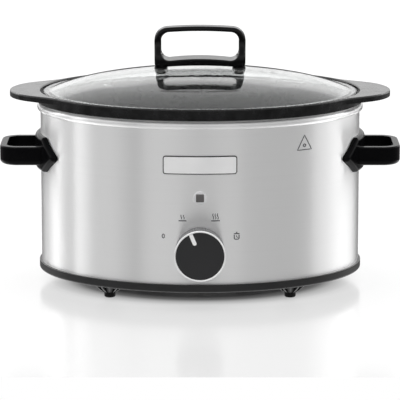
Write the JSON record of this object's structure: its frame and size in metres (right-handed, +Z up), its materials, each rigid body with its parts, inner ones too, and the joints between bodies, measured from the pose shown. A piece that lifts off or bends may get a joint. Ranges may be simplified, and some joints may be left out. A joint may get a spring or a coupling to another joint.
{
  "type": "slow cooker",
  "caption": "Oval countertop slow cooker: brushed steel heating base, loose black stoneware crock with side lugs, domed glass lid with a bow handle, rotary heat knob.",
  "frame": {"origin": "centre of the footprint's bounding box, on the surface the feet stand on", "axes": "+Z up, front with the knob faces -Y, +X is to the right as seen from the front, along the oval"},
  "size_m": [0.38, 0.2632, 0.2454],
  "materials": {
    "brushed_steel": "horizontally brushed, satin",
    "well_steel": "plain rolled, satin",
    "base_black": "fine satin",
    "foot_rubber": "matt",
    "handle_black": "glossy",
    "grip_black": "satin gloss",
    "black_glaze": "high gloss glaze",
    "clear_glass": "clear tempered glass",
    "seal_rubber": "matt silicone",
    "zinc_steel": "bright zinc plated",
    "knob_silver": "satin silver",
    "knob_chrome": "polished",
    "knob_face": "spun satin black",
    "pointer_white": "smooth",
    "badge_silver": "satin silver",
    "badge_edge": "gloss",
    "bezel_chrome": "polished",
    "lens_smoke": "smoked translucent",
    "lamp_glass": "clear",
    "lamp_sleeve": "smooth",
    "insulation_fibre": "fibre blanket",
    "band_foil": "foil faced",
    "fuse_metal": "satin",
    "switch_plastic": "moulded",
    "rotor_plastic": "moulded",
    "shaft_brass": "turned",
    "gland_rubber": "satin",
    "block_ceramic": "unglazed",
    "lead_brown": "sleeve",
    "lead_blue": "sleeve",
    "lead_green": "sleeve"
  },
  "bodies": {
    "base": {"outer_shell": "brushed_steel", "heating_well": "well_steel", "base_tray": "base_black", "foot_front_left": "foot_rubber", "foot_front_right": "foot_rubber", "foot_back_left": "foot_rubber", "foot_back_right": "foot_rubber", "left_handle": "handle_black", "right_handle": "handle_black", "handle_screws": "zinc_steel", "tie_stud": "zinc_steel", "tie_washer": "zinc_steel", "tie_nut": "zinc_steel", "switch_nut": "zinc_steel", "switch_bracket": "zinc_steel", "left_handle_bracket": "zinc_steel", "right_handle_bracket": "zinc_steel", "fuse_clip": "zinc_steel", "badge_plate": "badge_silver", "badge_frame": "badge_edge", "indicator_bezel": "bezel_chrome", "indicator_lens": "lens_smoke", "indicator_lamp": "lamp_glass", "lamp_sleeve": "lamp_sleeve", "insulation_wrap": "insulation_fibre", "heater_band": "band_foil", "thermal_fuse": "fuse_metal", "switch_case": "switch_plastic", "cord_gland": "gland_rubber", "terminal_block": "block_ceramic", "lead_live": "lead_brown", "lead_switched": "lead_brown", "lead_heater": "lead_brown", "lead_neutral": "lead_blue", "lead_earth": "lead_green"},
    "knob": {"knob_body": "knob_silver", "knob_ring": "knob_chrome", "knob_cap": "knob_face", "knob_pointer": "pointer_white", "switch_shaft": "shaft_brass", "switch_rotor": "rotor_plastic"},
    "crock": {"crock": "black_glaze"},
    "lid": {"lid_glass": "clear_glass", "lid_handle": "grip_black", "lid_seals": "seal_rubber", "lid_screws": "zinc_steel"}
  },
  "joints": [
    {"name": "knob_turn", "type": "hinge", "parent": "base", "child": "knob", "pos_m": [0, -0.1118, 0.0518], "axis": [0, 1, 0], "range_deg": [-45, 90]},
    {"name": "crock_lift", "type": "slide", "parent": "base", "child": "crock", "axis": [0, 0, 1], "range_m": [0, 0.17]},
    {"name": "lid_lift", "type": "slide", "parent": "crock", "child": "lid", "axis": [0, 0, 1], "range_m": [0, 0.12]}
  ]
}
